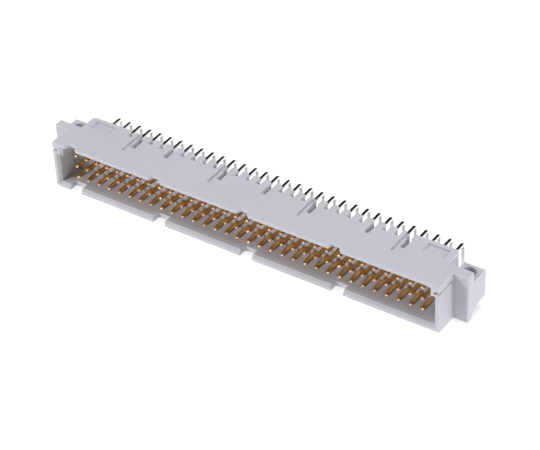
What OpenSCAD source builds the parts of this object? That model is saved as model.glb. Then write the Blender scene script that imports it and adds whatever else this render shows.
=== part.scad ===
// Right-angle board connector: three rows of blade contacts in one moulded, shrouded housing.
// The origin lies midway between the two mounting holes, on the board's surface.
// +X runs along the connector, -Y is the mating side and +Z points away from the board.

/* [Contact grid] */
// Number of contact columns
columns = 32; // [16:1:40]
// Distance between neighbouring contacts, along and across
pitch = 2.54; // [2.4:0.02:3]
// Height of the lowest row's centre line above the board
row_a_height = 0.38; // [0.36:0.02:0.7]
// Distance from the mounting holes back to the first row of tails
tail_setback = 1.97; // [1.7:0.05:4]

/* [Contacts] */
// Thickness of the contact strip
strip_t = 0.6; // [0.4:0.05:0.65]
// Width of the mating blade
blade_w = 0.75; // [0.7:0.05:1.1]
// Width of the solder tail
tail_w = 0.6; // [0.4:0.05:0.65]
// Length of the blade's tapered point
point_len = 0.9; // [0.4:0.1:1.5]
// Width of the flat at the blade's point
point_w = 0.45; // [0.2:0.05:0.7]
// Thickness of the flat at the blade's point
point_t = 0.25; // [0.1:0.05:0.4]
// Inner radius of the bend into the tail
bend_r = 0.15; // [0.1:0.05:0.6]
// Reach of the tails below the board's surface
tail_reach = 3; // [2.4:0.1:5]
// Length of the tail's tapered end
tail_point_len = 0.5; // [0.2:0.1:1]
// Size of the square flat at the tail's end
tail_point_w = 0.3; // [0.15:0.05:0.4]
// Distance from the comb in to the blade's shoulder
shoulder_inset = 0.7; // [0.3:0.1:1.2]
// Clearance of the strip in its hole, on each side
fit_gap = 0.03; // [0.01:0.01:0.1]

/* [Shroud] */
// Distance from the mounting holes forward to the shroud's rim
front_reach = 9.29; // [8:0.1:12]
// Depth of the mating cavity
cavity_depth = 5.7; // [4:0.1:6]
// Distance from the rim back to the blades' points
point_setback = 1.44; // [0.6:0.1:2.4]
// Thickness of the long walls
wall = 1.15; // [0.9:0.05:2]
// Thickness of the end walls
end_wall = 1.2; // [1:0.05:2]
// Room between the lowest row's centre line and the lower wall
room_below = 1.43; // [1:0.05:2]
// Room between the highest row's centre line and the upper wall
room_above = 1.74; // [1.2:0.05:2.5]
// Room between the outermost columns' centre lines and the end walls
room_end = 3.21; // [2.8:0.05:4.5]
// Width of the keys that narrow the cavity's upper part
key_w = 0.95; // [0.5:0.05:1.5]
// Height of the keys
key_h = 1.83; // [1:0.05:2.5]
// Size of the chamfer that leads the plug in
lead_in = 0.55; // [0.3:0.05:0.8]

/* [Code notches in the rim] */
// Column of the first notch
notch_column = 1; // [1:1:4]
// Number of columns from one notch to the next
notch_step = 8; // [4:1:12]
// Width of the notches in the upper wall
upper_notch_w = 1.6; // [1:0.05:2.2]
// Depth of the notches in the upper wall
upper_notch = 1; // [0.5:0.1:2]
// Width of the notches in the lower wall
lower_notch_w = 2.7; // [1:0.05:3.2]
// Depth of the notches in the lower wall
lower_notch = 1.86; // [0.8:0.1:3]
// Offset of the lower notches, and of the long slots above them, from their columns
notch_shift = 0.35; // [-0.5:0.05:0.5]

/* [Ears] */
// Distance from the outermost columns to the mounting holes
hole_offset = 5.08; // [4.8:0.02:6.5]
// Diameter of the mounting holes
hole_d = 2.8; // [2:0.1:3]
// Distance from the mounting holes to the connector's ends
ear_margin = 2.4; // [1.9:0.1:4]
// Distance from the mounting holes forward to the front of the ears
ear_reach = 4.45; // [4:0.05:5]
// Thickness of the ears' upright part
ear_upright = 2.1; // [1.6:0.1:2.6]
// Distance from the mounting holes back to the rear of the ears
shelf_reach = 2.1; // [1.7:0.1:3]
// Radius of the ears' upright front edges
ear_edge_r = 0.4; // [0.1:0.05:0.8]
// Height of the ears' shelf above the board
shelf_h = 5.87; // [4:0.1:7]
// Width of the gap between the rear of the shelf and the contact block
shelf_gap = 0.55; // [0.3:0.05:0.8]
// Length of that gap from the rear of the ears
shelf_gap_run = 2.3; // [1:0.1:4]
// Drop of the board stop below the board's surface
stop_drop = 2.03; // [1:0.1:2.1]
// Thickness of the board stop at its toe
stop_toe = 1.35; // [0.8:0.05:1.8]
// Distance from the mounting holes forward to the root of the board stop
stop_reach = 2.1; // [1.7:0.05:2.3]
// Distance from the top face down to the middle of the slit in each end wall
slit_drop = 1.68; // [1.3:0.05:2.2]
// Height of the slit
slit_h = 0.3; // [0.2:0.05:0.4]
// Depth of the slit
slit_depth = 0.65; // [0.2:0.05:1]
// Distance from the rear end of the slit to the ear
slit_stop = 0.4; // [0.1:0.1:1]
// Length of the deeper pocket at each end of the slit
pocket_len = 0.8; // [0.4:0.1:1.5]
// Height of those pockets
pocket_h = 0.55; // [0.45:0.05:0.8]
// Depth of those pockets
pocket_depth = 1.2; // [1.05:0.05:1.6]

/* [Rear block] */
// Distance from the mounting holes back to the rear face
rear_reach = 1.8; // [1.7:0.1:3]
// Length of the block beyond the outermost columns
block_margin = 2.38; // [1.6:0.02:2.8]
// Radius of the block's upright rear corners
corner_r = 1; // [0.3:0.1:1.5]
// Depth of the comb at the rear
comb_depth = 2; // [1:0.1:2.4]
// Width of the comb's slots
slot_w = 1.08; // [0.9:0.02:1.6]
// Radius at the rear corners of the comb's teeth
tooth_r = 0.4; // [0.1:0.05:0.45]
// Number of columns at each end whose slots are roofed over
roofed_columns = 3; // [1:1:6]
// Thickness of the roof over those slots
roof = 1.2; // [0.6:0.1:2]

/* [Relief on the top] */
// Column of the first long slot
long_slot_column = 5; // [4:1:8]
// Number of columns from one long slot to the next
long_slot_step = 8; // [4:1:12]
// Length of the long slots in front of the comb
long_slot_len = 2.6; // [1:0.1:3]
// Column of the first short slot
short_slot_column = 8; // [4:1:12]
// Number of columns from one short slot to the next
short_slot_step = 9; // [4:1:12]
// Length of the short slots in front of the comb
short_slot_len = 2.1; // [0.5:0.1:3]
// Depth of the long and short slots
relief_slot_depth = 1.3; // [0.3:0.1:1.8]
// Width of the grooves beside the long slots
groove_w = 0.65; // [0.3:0.05:1]
// Depth of the grooves
groove_depth = 0.45; // [0.2:0.05:0.7]
// Length of the recess near each rear corner
recess_w = 4.65; // [2:0.05:6]
// Distance from the block's end to the recess
recess_margin = 1.5; // [0.8:0.1:3]
// Distance from the rear face to the recess
recess_setback = 0.95; // [0.6:0.05:1.5]
// Width of the recess from front to rear
recess_run = 2.5; // [1:0.1:3]
// Depth of the recess
recess_depth = 0.45; // [0.1:0.05:0.8]

/* [Hidden] */
$fn = 48;
rows = 3;
overrun = 0.5;
plastic_colour = [0.76, 0.76, 0.80];
contact_colour = [0.78, 0.62, 0.32];

front_y = -front_reach;
floor_y = front_y + cavity_depth;
point_y = front_y + point_setback;
ear_y = -ear_reach;
upright_y = ear_y + ear_upright;
rear_y = rear_reach;
comb_y = rear_y - comb_depth;
shoulder_y = comb_y - shoulder_inset;

cavity_low = row_z(0) - room_below;
cavity_high = row_z(rows - 1) + room_above;
bottom_z = cavity_low - wall;
top_z = cavity_high + wall;
key_z = cavity_high - key_h;
slit_z = top_z - slit_drop;

end_x = (columns - 1) / 2 * pitch;
cavity_x = end_x + room_end;
keyed_x = cavity_x - key_w;
shroud_x = cavity_x + end_wall;
block_x = end_x + block_margin;
hole_x = end_x + hole_offset;
ear_x = hole_x + ear_margin;

function row_z(row) = row_a_height + row * pitch;
function tail_y(row) = tail_setback + row * pitch;
function column_x(c) = (c - (columns + 1) / 2) * pitch;
function column_name(c) = str("contacts_", c < 10 ? "0" : "", c);
function is_roofed(c) = c <= roofed_columns || c > columns - roofed_columns;

// A box from its lowest corner to its highest one.
module block_between(low, high) {
    translate(low) cube(high - low);
}

// A side outline, drawn as (Y, Z), drawn out along X over a given width.
module drawn_along_x(width) {
    rotate([90, 0, 90]) linear_extrude(width, center = true) children();
}

// The strip seen from the side: pointed blade, straight run, bend and pointed tail.
module strip_side(row) {
    z = row_z(row);
    tail = tail_y(row);
    half = strip_t / 2;
    bend_y = tail - half - bend_r;
    bend_z = z - half - bend_r;
    tail_half = tail_point_w / 2;
    polygon([
        [point_y, z - point_t / 2], [point_y + point_len, z - half], [bend_y, z - half],
        [bend_y, z + half], [point_y + point_len, z + half], [point_y, z + point_t / 2]
    ]);
    translate([bend_y, bend_z]) intersection() {
        difference() {
            circle(bend_r + strip_t);
            circle(bend_r);
        }
        square(bend_r + strip_t);
    }
    polygon([
        [tail - half, bend_z], [tail - half, tail_point_len - tail_reach], [tail - tail_half, -tail_reach],
        [tail + tail_half, -tail_reach], [tail + half, tail_point_len - tail_reach], [tail + half, bend_z]
    ]);
}

// The strip seen from above: the blade with its point, the shoulders and the narrow tail.
module strip_plan(row) {
    blade = blade_w / 2;
    tail = tail_w / 2;
    end_y = tail_y(row) + strip_t;
    neck_y = shoulder_y + blade - tail;
    polygon([
        [-point_w / 2, point_y], [point_w / 2, point_y], [blade, point_y + point_len], [blade, shoulder_y],
        [tail, neck_y], [tail, end_y], [-tail, end_y], [-tail, neck_y],
        [-blade, shoulder_y], [-blade, point_y + point_len]
    ]);
}

// One contact: a blanked strip, bent at its tail.
module contact(row) {
    intersection() {
        drawn_along_x(blade_w) strip_side(row);
        translate([0, 0, -tail_reach - overrun])
            linear_extrude(top_z + tail_reach + overrun) strip_plan(row);
        tail_end_taper(row);
    }
}

// Everything that the contact keeps when the tail's end is tapered across its width.
module tail_end_taper(row) {
    keep = blade_w;
    half = tail_w / 2;
    flat = tail_point_w / 2;
    taper_z = tail_point_len - tail_reach;
    length = tail_y(row) + strip_t - point_y;
    translate([0, tail_y(row) + strip_t, 0]) rotate([90, 0, 0]) linear_extrude(length) polygon([
        [-flat, -tail_reach], [flat, -tail_reach], [half, taper_z], [keep, taper_z],
        [keep, top_z], [-keep, top_z], [-keep, taper_z], [-half, taper_z]
    ]);
}

// The three contacts of one column.
module contact_column(c) {
    color(contact_colour) translate([column_x(c), 0, 0])
        for (row = [0 : rows - 1]) contact(row);
}

// Side outline behind the shroud: board stop, seat, shelf and upright, back to a given rear face.
module board_side(rear) {
    polygon([
        [ear_y, -stop_drop], [ear_y + stop_toe, -stop_drop], [-stop_reach, 0], [rear, 0],
        [rear, shelf_h], [upright_y, shelf_h], [upright_y, top_z], [ear_y, top_z]
    ]);
}

// The corner that rounding takes off an ear's upright front edge, in plan.
module ear_edge_plan() {
    edge_x = ear_x - ear_edge_r;
    difference() {
        translate([edge_x, ear_y - overrun]) square(ear_edge_r + overrun);
        translate([edge_x, ear_y + ear_edge_r]) circle(ear_edge_r);
    }
}

// The two ears, rooted in the rear block, with a gap beside the shelf's rear part.
module ears() {
    root_x = block_x - corner_r;
    gap_y = shelf_reach - shelf_gap_run;
    height = top_z + stop_drop + 2 * overrun;
    for (side = [0, 1]) mirror([side, 0, 0]) difference() {
        translate([(root_x + ear_x) / 2, 0, 0]) drawn_along_x(ear_x - root_x) board_side(shelf_reach);
        translate([0, 0, -stop_drop - overrun]) linear_extrude(height) ear_edge_plan();
        block_between([root_x - overrun, gap_y, -overrun],
            [block_x + shelf_gap, shelf_reach + overrun, shelf_h + overrun]);
    }
}

// Plan of the rear block, with its rear corners rounded.
module block_plan() {
    straight_y = rear_y - corner_r;
    translate([-block_x, ear_y]) square([2 * block_x, straight_y - ear_y]);
    translate([corner_r - block_x, ear_y]) square([2 * (block_x - corner_r), rear_y - ear_y]);
    for (side = [-1, 1]) translate([side * (block_x - corner_r), straight_y]) circle(corner_r);
}

// Part of the cavity with straight walls, widened at the rim by a chamfer on all four sides.
module cavity_part(half_x, high) {
    block_between([-half_x, front_y, cavity_low], [half_x, floor_y, high]);
    intersection() {
        translate([0, 0, cavity_low - lead_in]) linear_extrude(high - cavity_low + 2 * lead_in)
            polygon([
                [-half_x - lead_in - overrun, front_y - overrun],
                [half_x + lead_in + overrun, front_y - overrun],
                [half_x, front_y + lead_in], [-half_x, front_y + lead_in]
            ]);
        drawn_along_x(2 * (half_x + lead_in))
            polygon([
                [front_y - overrun, cavity_low - lead_in - overrun], [front_y + lead_in, cavity_low],
                [front_y + lead_in, high], [front_y - overrun, high + lead_in + overrun]
            ]);
    }
}

// The mating cavity, narrower above the keys so that the plug fits one way round only.
module cavity() {
    cavity_part(cavity_x, key_z);
    cavity_part(keyed_x, cavity_high);
}

// Holes that the contacts pass through, open below where the lowest row runs over the board.
module contact_holes() {
    half_w = blade_w / 2 + fit_gap;
    half_t = strip_t / 2 + fit_gap;
    for (c = [1 : columns]) translate([column_x(c), 0, 0]) {
        for (row = [0 : rows - 1])
            block_between([-half_w, floor_y - overrun, row_z(row) - half_t],
                [half_w, comb_y + overrun, row_z(row) + half_t]);
        block_between([-half_w, upright_y, -overrun], [half_w, comb_y + overrun, row_z(0) + half_t]);
    }
}

// Plan of one comb slot, with the teeth beside it rounded at the rear.
module slot_plan() {
    half = slot_w / 2;
    translate([-half, comb_y]) square([slot_w, comb_depth + overrun]);
    for (side = [0, 1]) mirror([side, 0]) difference() {
        translate([half, rear_y - tooth_r]) square([tooth_r, tooth_r + overrun]);
        translate([half + tooth_r, rear_y - tooth_r]) circle(tooth_r);
        translate([half + tooth_r, rear_y - tooth_r]) square([tooth_r, tooth_r + 2 * overrun]);
    }
}

// The comb that keeps the tails apart: one slot behind each column, right down to the board.
module comb() {
    for (c = [1 : columns]) {
        high = is_roofed(c) ? top_z - roof : top_z + overrun;
        translate([column_x(c), 0, -overrun]) linear_extrude(high + overrun) slot_plan();
    }
}

// Slots that run on forward from the comb in the top face.
module relief_slots(first, step, length, shift) {
    half = slot_w / 2;
    for (c = [first : step : columns - roofed_columns])
        translate([column_x(c) + shift, 0, 0])
            block_between([-half, comb_y - length, top_z - relief_slot_depth],
                [half, comb_y + overrun, top_z + overrun]);
}

// Narrow grooves along the top face, each on the tooth before a long slot.
module grooves() {
    half = groove_w / 2;
    for (c = [long_slot_column : long_slot_step : columns - roofed_columns])
        translate([column_x(c) - pitch / 2 + notch_shift, 0, 0])
            block_between([-half, ear_y, top_z - groove_depth], [half, rear_y + overrun, top_z + overrun]);
}

// Shallow recesses near the rear corners of the top face.
module recesses() {
    half = recess_w / 2;
    recess_rear = rear_y - recess_setback;
    middle = block_x - recess_margin - half;
    for (side = [-1, 1]) translate([side * middle, 0, 0])
        block_between([-half, recess_rear - recess_run, top_z - recess_depth],
            [half, recess_rear, top_z + overrun]);
}

// One notch in the rim, between two heights.
module rim_notch(width, depth, low, high) {
    block_between([-width / 2, front_y - overrun, low], [width / 2, front_y + depth, high]);
}

// Notches in the rim of the upper and lower walls.
module rim_notches() {
    middle_z = (cavity_low + cavity_high) / 2;
    for (c = [notch_column : notch_step : columns]) translate([column_x(c), 0, 0]) {
        rim_notch(upper_notch_w, upper_notch, middle_z, top_z + overrun);
        translate([notch_shift, 0, 0]) rim_notch(lower_notch_w, lower_notch, bottom_z - overrun, middle_z);
    }
}

// One stretch of the slit in the right-hand end wall.
module slit_part(from_y, to_y, height, depth) {
    half = height / 2;
    block_between([shroud_x - depth, from_y, slit_z - half], [shroud_x + overrun, to_y, slit_z + half]);
}

// Slits along the outside of the end walls, from the rim back towards the ears, deeper at both ends.
module end_slits() {
    slit_end = ear_y - slit_stop;
    for (side = [0, 1]) mirror([side, 0, 0]) {
        slit_part(front_y - overrun, slit_end, slit_h, slit_depth);
        slit_part(front_y - overrun, front_y + pocket_len, pocket_h, pocket_depth);
        slit_part(slit_end - pocket_len, slit_end, pocket_h, pocket_depth);
    }
}

// Mounting holes through the ears' shelves.
module mounting_holes() {
    for (side = [-1, 1]) translate([side * hole_x, 0, -overrun])
        cylinder(h = shelf_h + 2 * overrun, d = hole_d);
}

// The housing: shroud, contact block, comb and ears in one moulding.
module housing() {
    color(plastic_colour) difference() {
        union() {
            block_between([-shroud_x, front_y, bottom_z], [shroud_x, upright_y, top_z]);
            drawn_along_x(2 * (block_x - corner_r)) board_side(rear_y);
            linear_extrude(top_z) block_plan();
            ears();
        }
        cavity();
        contact_holes();
        comb();
        relief_slots(long_slot_column, long_slot_step, long_slot_len, notch_shift);
        relief_slots(short_slot_column, short_slot_step, short_slot_len, 0);
        grooves();
        recesses();
        rim_notches();
        end_slits();
        mounting_holes();
    }
}

housing();
for (c = [1 : columns]) contact_column(c);
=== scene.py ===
import math

import bmesh
import bpy
from mathutils import Matrix, Vector


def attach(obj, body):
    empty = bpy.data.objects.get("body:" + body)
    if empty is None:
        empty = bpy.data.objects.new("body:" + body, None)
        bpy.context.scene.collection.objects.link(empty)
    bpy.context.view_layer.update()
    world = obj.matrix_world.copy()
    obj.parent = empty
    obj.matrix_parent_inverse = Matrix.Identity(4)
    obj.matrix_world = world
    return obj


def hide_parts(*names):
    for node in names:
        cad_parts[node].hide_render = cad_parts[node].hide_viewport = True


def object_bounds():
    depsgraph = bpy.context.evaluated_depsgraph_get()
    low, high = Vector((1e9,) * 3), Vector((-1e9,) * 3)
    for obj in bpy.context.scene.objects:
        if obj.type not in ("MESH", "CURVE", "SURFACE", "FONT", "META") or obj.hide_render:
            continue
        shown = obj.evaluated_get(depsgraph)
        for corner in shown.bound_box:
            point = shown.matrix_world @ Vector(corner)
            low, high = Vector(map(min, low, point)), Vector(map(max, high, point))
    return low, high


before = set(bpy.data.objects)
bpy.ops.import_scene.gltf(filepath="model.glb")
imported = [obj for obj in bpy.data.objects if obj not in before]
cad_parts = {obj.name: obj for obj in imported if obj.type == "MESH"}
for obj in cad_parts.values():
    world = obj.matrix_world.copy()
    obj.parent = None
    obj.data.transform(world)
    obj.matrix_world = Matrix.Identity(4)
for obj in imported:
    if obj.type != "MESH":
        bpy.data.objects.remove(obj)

# The housing: one injection moulding in light grey, glass-filled thermoplastic. Shroud, contact block,
# comb and ears come out of the mould together, with slightly softened edges and a fine eroded texture
# on every face.
mm = 0.001
cad_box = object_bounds()


class Wire:
    """A socket of a node tree, on which plain arithmetic adds Math nodes."""

    def __init__(self, tree, socket=None):
        self.tree = tree
        self.socket = socket

    def node(self, kind, settings=None, **inputs):
        """Adds a node of a kind, applies its settings and then its inputs, and returns its first output.

        An input goes by its name, with _ for a space, or by _ and its number.
        """
        made = self.tree.nodes.new("ShaderNode" + kind)
        for name, value in (settings or {}).items():
            setattr(made, name, value)
        for name, value in inputs.items():
            socket = made.inputs[int(name[1:]) if name[0] == "_" else name.replace("_", " ")]
            if isinstance(value, Wire):
                self.tree.links.new(value.socket, socket)
            else:
                socket.default_value = value
        return Wire(self.tree, made.outputs[0])

    def out(self, which):
        """Another output of this socket's node, by name or number."""
        return Wire(self.tree, self.socket.node.outputs[which])

    def math(self, operation, *values):
        """A Math node's result for numbers or wires."""
        return self.node("Math", {"operation": operation}, **{f"_{i}": v for i, v in enumerate(values)})

    def __add__(self, other):
        return self.math("ADD", self, other)

    def __radd__(self, other):
        return self.math("ADD", other, self)

    def __sub__(self, other):
        return self.math("SUBTRACT", self, other)

    def __rsub__(self, other):
        return self.math("SUBTRACT", other, self)

    def __mul__(self, other):
        return self.math("MULTIPLY", self, other)

    def __rmul__(self, other):
        return self.math("MULTIPLY", other, self)

    def __gt__(self, other):
        return self.math("GREATER_THAN", self, other)

    def mixed(self, dark, light):
        """A colour between two others, by this value. A Mix node's colour sockets go by number."""
        return self.node("Mix", {"data_type": "RGBA"}, _0=self, _6=dark, _7=light).out(2)


def new_material(name):
    """A material with one principled shader, and a wire that carries its object coordinates."""
    material = bpy.data.materials.new(name)
    material.use_nodes = True
    tree = material.node_tree
    return material, tree.nodes["Principled BSDF"], Wire(tree).node("TexCoord").out("Object")


def feed(shader, name, wire):
    """Links a wire to one socket of a shader."""
    wire.tree.links.new(wire.socket, shader.inputs[name])


def copied(node):
    """A copy of a node's mesh, in which faces that meet share their corners."""
    merge = 0.001 * mm
    body = bmesh.new()
    body.from_mesh(node.data)
    bmesh.ops.remove_doubles(body, verts=body.verts, dist=merge)
    return body


def flat_widths(body):
    """For each face of a mesh, the mean width of the flat area that it is a part of."""
    flat_turn = math.radians(1)
    widths = {}
    for start in body.faces:
        if start in widths:
            continue
        area = [start]
        met = {start}
        for reached in area:
            for edge in reached.edges:
                if edge.calc_face_angle(0) < flat_turn:
                    fresh = [face for face in edge.link_faces if face not in met]
                    met.update(fresh)
                    area.extend(fresh)
        rim = [edge for face in area for edge in face.edges if edge.calc_face_angle(0) >= flat_turn]
        width = 2 * sum(face.calc_area() for face in area) / sum(edge.calc_length() for edge in rim)
        widths.update((face, width) for face in area)
    return widths


def softened(body, node, name, width, narrow, segments):
    """A piece that replaces a node: its copy with rounded outer edges, finer ones beside narrow faces."""
    sharp = math.radians(35)
    fine_share = 0.4
    fine_edge, plain_edge = 1, 2
    reach = [[vert.co[axis] for vert in body.verts] for axis in range(3)]
    low = [min(values) for values in reach]
    high = [max(values) for values in reach]
    # The faces of the rounds are flagged, and the plastic paints them lighter: a painted highlight along
    # the edges.
    painted_edge_highlight = body.faces.layers.float.new("painted_edge_highlight")
    fine = body.edges.layers.int.new("fine")
    widths = flat_widths(body)
    for edge in body.edges:
        if edge.is_convex and edge.calc_face_angle(0) > sharp:
            slimmest = min(widths[face] for face in edge.link_faces)
            edge[fine] = fine_edge if slimmest < narrow else plain_edge
    for kind, offset in ((plain_edge, width), (fine_edge, fine_share * width)):
        edges = [edge for edge in body.edges if edge[fine] == kind and edge.calc_face_angle(0) > sharp]
        if edges:
            rounded = bmesh.ops.bevel(body, geom=edges, offset=offset, offset_type="OFFSET",
                                      segments=segments, profile=0.5, affect="EDGES",
                                      clamp_overlap=False, material=-1)
            # Flags each face of a round for the painted highlight.
            for face in rounded["faces"]:
                face[painted_edge_highlight] = 1
    for vert in body.verts:
        vert.co = [min(max(c, least), most) for c, least, most in zip(vert.co, low, high)]
    for face in body.faces:
        face.smooth = True
    for edge in body.edges:
        edge.smooth = edge.is_convex or edge.calc_face_angle(0) < sharp
    mesh = bpy.data.meshes.new(name)
    body.to_mesh(mesh)
    body.free()
    piece = bpy.data.objects.new(name, mesh)
    bpy.context.collection.objects.link(piece)
    flat = piece.modifiers.new("flat", "WEIGHTED_NORMAL")
    flat.weight = 100
    flat.keep_sharp = True
    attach(piece, "root")
    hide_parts(node.name)
    return piece


def dress(piece, material):
    """Gives a piece one material in place of all others."""
    piece.data.materials.clear()
    piece.data.materials.append(material)


plastic_light = (0.62, 0.62, 0.68, 1)
plastic_dark = (0.56, 0.56, 0.62, 1)
plastic_painted_highlight = (0.74, 0.74, 0.78, 1)
plastic_roughness = 0.4
cloud_roughness = 0.14
grain_roughness = 0.06
grain_depth = 0.02 * mm
plastic, shader, place = new_material("moulded_plastic")
cloud = place.node("TexNoise", Vector=place, Scale=120, Detail=3)
grain = place.node("TexNoise", Vector=place, Scale=5200, Detail=2)
# Painted highlight: the rounded edges are painted in a lighter tone than the faces, for the light that they
# catch.
painted_edge_highlight = place.node("Attribute", {"attribute_name": "painted_edge_highlight"}).out("Fac")
feed(shader, "Base Color", painted_edge_highlight.mixed(cloud.mixed(plastic_dark, plastic_light), plastic_painted_highlight))
feed(shader, "Roughness", plastic_roughness + cloud_roughness * cloud + grain_roughness * grain)
feed(shader, "Normal", place.node("Bump", Height=grain, Strength=0.12, Distance=grain_depth))
shader.inputs["Specular IOR Level"].default_value = 0.4

# The notches in the upper rim are plain boxes in the solids. Here they flare towards the plug and widen
# under the wall, so that blades show through them.
notch_columns = ("contacts_01", "contacts_09", "contacts_17", "contacts_25")
notch_half = 0.8 * mm
notch_depth = 1 * mm
flare = 0.4 * mm
undercut = 0.6 * mm
near = 0.02 * mm
wall_z = 7.2 * mm
top_z = cad_box[1].z
rim_y = cad_box[0].y
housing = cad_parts["housing"]
shape = copied(housing)
for column in notch_columns:
    reach = [vert.co.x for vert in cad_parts[column].data.vertices]
    column_x = (min(reach) + max(reach)) / 2
    for vert in shape.verts:
        side = vert.co.x - column_x
        depth = vert.co.y - rim_y
        on_side = abs(abs(side) - notch_half) < near
        if on_side and depth < notch_depth + near and vert.co.z > wall_z - near:
            under = (top_z - vert.co.z) / (top_z - wall_z)
            if depth > notch_depth - near:
                depth += undercut * under
            vert.co.y = rim_y + depth
            vert.co.x += math.copysign(flare * (1 - depth / notch_depth) + undercut * under, side)
moulding = softened(shape, housing, "moulding", width=0.1 * mm, narrow=0.7 * mm, segments=2)
dress(moulding, plastic)

# The contacts: strips blanked from copper alloy, three to a column, pushed into the block from the mating
# side up to their shoulders and then bent down. The blades are plated with gold, and the tails behind the
# block with bright tin.
# The cut ends of the points are painted pale: bare metal, and a painted highlight where they catch light.
gold_light = (0.82, 0.50, 0.20, 1)
gold_dark = (0.55, 0.29, 0.08, 1)
bare_cut_and_highlight = (0.80, 0.62, 0.44, 1)
tin_light = (0.80, 0.80, 0.79, 1)
tin_dark = (0.70, 0.70, 0.71, 1)
cut_and_highlight_end = -7.7 * mm
gold_end = -2.6 * mm
plating_roughness = 0.12
drawn_roughness = 0.08
cloud_roughness = 0.06
drawn_depth = 0.01 * mm
plated, shader, place = new_material("plated_contact")
along = place.node("SeparateXYZ", Vector=place).out("Y")
streaks = place.node("Mapping", Vector=place, Scale=(6000, 500, 6000))
drawn = place.node("TexNoise", Vector=streaks, Scale=1, Detail=3)
cloud = place.node("TexNoise", Vector=place, Scale=700, Detail=2)
# The points are painted pale: bare cut metal together with a painted highlight.
gold = (along > cut_and_highlight_end).mixed(bare_cut_and_highlight, cloud.mixed(gold_dark, gold_light))
tin = cloud.mixed(tin_dark, tin_light)
feed(shader, "Base Color", (along > gold_end).mixed(gold, tin))
feed(shader, "Roughness", plating_roughness + drawn_roughness * drawn + cloud_roughness * cloud)
feed(shader, "Normal", place.node("Bump", Height=drawn, Strength=0.08, Distance=drawn_depth))
shader.inputs["Metallic"].default_value = 1

columns = [node for name, node in sorted(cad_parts.items()) if name.startswith("contacts_")]
for column in columns:
    strip_name = column.name.replace("contacts", "strips")
    strip = softened(copied(column), column, strip_name, width=0.02 * mm, narrow=0, segments=1)
    dress(strip, plated)

# The stage: a white floor under the tails, which glows and so lights the part, in a white surround.
# Where the part stands over it the glow is switched off, which paints a shadow there.
# The lights are soft squares: one overhead, a key from the front left, a fill from the right and a weak one
# behind.
floor_reach = 2000 * mm
floor_z = cad_box[0].z
sheet = bmesh.new()
bmesh.ops.create_grid(sheet, x_segments=1, y_segments=1, size=floor_reach)
bmesh.ops.translate(sheet, verts=sheet.verts, vec=(0, 0, floor_z))
floor_mesh = bpy.data.meshes.new("floor")
sheet.to_mesh(floor_mesh)
sheet.free()
floor = bpy.data.objects.new("floor", floor_mesh)
bpy.context.collection.objects.link(floor)

floor_white = (0.86, 0.86, 0.86, 1)
glow = (0.42, 0.42, 0.42, 1)
seen_glow = (0.55, 0.55, 0.55, 1)
painted_shadow_black = (0, 0, 0, 1)
shade_middle = -0.5 * mm
shade_half = 3.5 * mm
fade = 2 * mm
floor_paint, shader, place = new_material("floor_paint")
across = place.node("SeparateXYZ", Vector=place)
beyond_x = across.math("ABSOLUTE", across.out("X")) - cad_box[1].x
beyond_y = across.math("ABSOLUTE", across.out("Y") - shade_middle) - shade_half
outside = across.math("MAXIMUM", beyond_x, beyond_y)
# Painted shadow: the floor's glow fades out under the part, so the floor is dark there.
outside_painted_shadow = across.node("MapRange", {"clamp": True}, Value=outside, From_Min=-fade, From_Max=0)
camera_ray = place.node("LightPath").out("Is Camera Ray")
mirrored = camera_ray.out("Is Glossy Ray")
seen = camera_ray.math("MAXIMUM", camera_ray, mirrored)
glowing = camera_ray.math("MAXIMUM", outside_painted_shadow, mirrored)
feed(shader, "Emission Color", glowing.mixed(painted_shadow_black, seen.mixed(glow, seen_glow)))
shader.inputs["Base Color"].default_value = floor_white
shader.inputs["Roughness"].default_value = 0.9
shader.inputs["Emission Strength"].default_value = 1
dress(floor, floor_paint)

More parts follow.
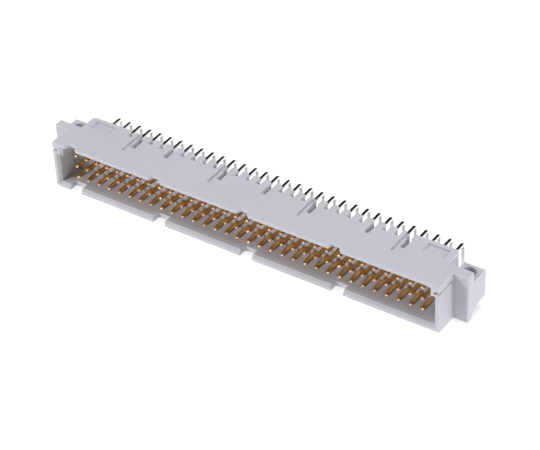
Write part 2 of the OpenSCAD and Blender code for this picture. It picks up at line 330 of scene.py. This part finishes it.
ceiling_shade = 0.99
rear_level = 0.6
world = bpy.data.worlds.new("surround")
world.use_nodes = True
bpy.context.scene.world = world
direction = Wire(world.node_tree).node("TexCoord").out("Generated")
heading = direction.node("SeparateXYZ", Vector=direction)
ceiling = heading.node("MapRange", {"clamp": True}, Value=heading.out("Z"), From_Min=0.25, From_Max=0.45)
behind = heading.node("MapRange", {"clamp": True}, Value=heading.out("Y"), From_Min=0.3, From_Max=0.8)
camera_ray = heading.node("LightPath").out("Is Camera Ray")
sharp_rays = camera_ray.out("Is Glossy Ray"), camera_ray.out("Is Transmission Ray")
mirrored = camera_ray.math("MAXIMUM", *sharp_rays)
horizon = (1 - ceiling_shade * ceiling) * camera_ray.math("MAXIMUM", mirrored, rear_level * behind)
level = camera_ray.math("MAXIMUM", camera_ray, horizon)
feed(world.node_tree.nodes["Background"], "Color", level.node("CombineColor", _0=level, _1=level, _2=level))


def soft_light(name, azimuth, elevation, size, power):
    """A square light that points at the part. Azimuth 0 is the mating side, and 90 the right-hand end."""
    middle = Vector((0, 0, 3 * mm))
    distance = 800 * mm
    around, up = math.radians(azimuth), math.radians(elevation)
    bearing = Vector((math.sin(around) * math.cos(up), -math.cos(around) * math.cos(up), math.sin(up)))
    turn = (-bearing).to_track_quat("-Z", "Y").to_matrix().to_4x4()
    light = bpy.data.lights.new(name, "AREA")
    light.size = size
    light.energy = power
    lamp = bpy.data.objects.new(name, light)
    lamp.matrix_world = Matrix.Translation(middle + distance * bearing) @ turn
    bpy.context.collection.objects.link(lamp)


soft_light("overhead", azimuth=0, elevation=88, size=400 * mm, power=2.6)
soft_light("key", azimuth=-36, elevation=30, size=200 * mm, power=3.1)
soft_light("fill", azimuth=97, elevation=33, size=200 * mm, power=2.7)
soft_light("back", azimuth=170, elevation=20, size=300 * mm, power=1.4)

# The camera: a long lens that looks down on the mating side from the right. Its place, turn and lens
# were solved from the points of the contacts in the photograph.
azimuth = math.radians(35.735)
elevation = math.radians(37.861)
roll = math.radians(-3.144)
eye = Vector((185.677, -256.641, 245.027)) * mm
tilt = math.pi / 2 - elevation
turn = Matrix.Rotation(azimuth, 4, "Z") @ Matrix.Rotation(tilt, 4, "X") @ Matrix.Rotation(roll, 4, "Z")
camera_data = bpy.data.cameras.new("camera")
camera_data.lens = 139.5
camera_data.sensor_width = 36
camera = bpy.data.objects.new("camera", camera_data)
camera.matrix_world = Matrix.Translation(eye) @ turn
bpy.context.collection.objects.link(camera)
bpy.context.scene.camera = camera
bpy.context.scene.view_settings.view_transform = "Standard"
